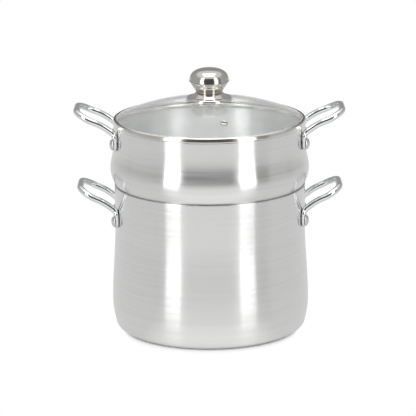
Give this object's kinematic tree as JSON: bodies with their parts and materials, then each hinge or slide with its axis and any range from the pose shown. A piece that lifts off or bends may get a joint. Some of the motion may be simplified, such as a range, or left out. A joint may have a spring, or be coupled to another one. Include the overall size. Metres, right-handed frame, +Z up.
{
  "type": "couscoussier",
  "caption": "Aluminium couscous steamer: a stock pot, a bellied steamer with a perforated base set in its mouth, and a domed glass lid with a steel rim and knob; loop handles on both vessels.",
  "frame": {"origin": "centre of the pot's underside, on the plane it stands on", "axes": "+Z up along the vessels' axis, +X through the handles, the side seen in the picture faces -Y"},
  "size_m": [0.3356, 0.2468, 0.3267],
  "materials": {
    "vessel_aluminium": "polished with fine turned lines",
    "rivet_aluminium": "satin",
    "handle_chrome": "mirror plated",
    "stainless_steel": "polished",
    "zinc_steel": "zinc plated",
    "lid_glass": "clear tempered",
    "silicone": "matt"
  },
  "bodies": {
    "pot": {"pot_body": "vessel_aluminium", "pot_handle_left": "handle_chrome", "pot_handle_right": "handle_chrome", "pot_rivet_left_front": "rivet_aluminium", "pot_rivet_left_rear": "rivet_aluminium", "pot_rivet_right_front": "rivet_aluminium", "pot_rivet_right_rear": "rivet_aluminium"},
    "steamer": {"steamer_body": "vessel_aluminium", "steamer_handle_left": "handle_chrome", "steamer_handle_right": "handle_chrome", "steamer_rivet_left_front": "rivet_aluminium", "steamer_rivet_left_rear": "rivet_aluminium", "steamer_rivet_right_front": "rivet_aluminium", "steamer_rivet_right_rear": "rivet_aluminium"},
    "lid": {"lid_glass": "lid_glass", "lid_rim_band": "stainless_steel", "vent_eyelet": "stainless_steel", "knob_flange": "stainless_steel", "knob_cup": "stainless_steel", "knob_cap": "stainless_steel", "knob_nut": "zinc_steel", "knob_screw": "zinc_steel", "glass_grommet": "silicone", "lower_gasket": "silicone", "screw_washer": "zinc_steel"}
  },
  "joints": [
    {"name": "steamer_lift", "type": "slide", "parent": "pot", "child": "steamer", "axis": [0, 0, 1], "range_m": [0, 0.12]},
    {"name": "lid_lift", "type": "slide", "parent": "steamer", "child": "lid", "axis": [0, 0, 1], "range_m": [0, 0.1]}
  ]
}
